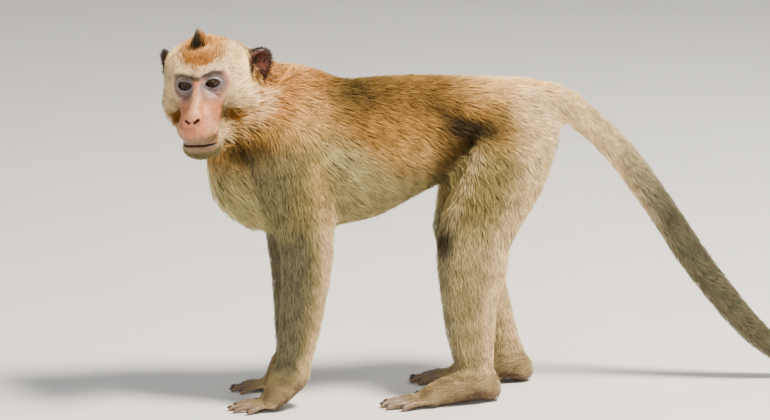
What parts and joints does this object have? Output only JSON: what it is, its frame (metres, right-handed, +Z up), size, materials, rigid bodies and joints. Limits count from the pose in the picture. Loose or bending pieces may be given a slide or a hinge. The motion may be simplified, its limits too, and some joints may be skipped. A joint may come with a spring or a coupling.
{
  "type": "life-size long-tailed macaque model",
  "caption": "Life-size still model of a standing long-tailed macaque on all fours, its head turned to its left and its long tail laid on the floor behind.",
  "frame": {"origin": "floor level, under the middle of the box round the animal", "axes": "+X from head to tail, +Y to the animal's right, +Z up"},
  "size_m": [0.847, 0.1664, 0.4284],
  "materials": {
    "face_and_cap": "short orange-brown fur round a bare pink-brown face",
    "ear_skin": "dark skin with thin ragged fur",
    "eye": "wet dark brown",
    "mane": "orange-brown fur",
    "coat": "golden-brown fur, paler below",
    "arm_coat": "grey-brown fur",
    "leg_coat": "cream to grey-brown fur",
    "palm": "dark grey-brown skin with thin fur",
    "tail_coat": "grey-beige fur, darker above"
  },
  "bodies": {
    "root": {"ear_left": "ear_skin", "ear_right": "ear_skin", "eye_left": "eye", "eye_right": "eye", "foot_left": "palm", "foot_right": "palm", "forearm_left": "arm_coat", "forearm_right": "arm_coat", "hand_left": "palm", "hand_right": "palm", "head": "face_and_cap", "neck": "mane", "shin_left": "leg_coat", "shin_right": "leg_coat", "tail_1": "tail_coat", "tail_2": "tail_coat", "tail_3": "tail_coat", "tail_4": "tail_coat", "thigh_left": "leg_coat", "thigh_right": "leg_coat", "trunk": "coat", "upper_arm_left": "arm_coat", "upper_arm_right": "arm_coat"}
  },
  "joints": []
}
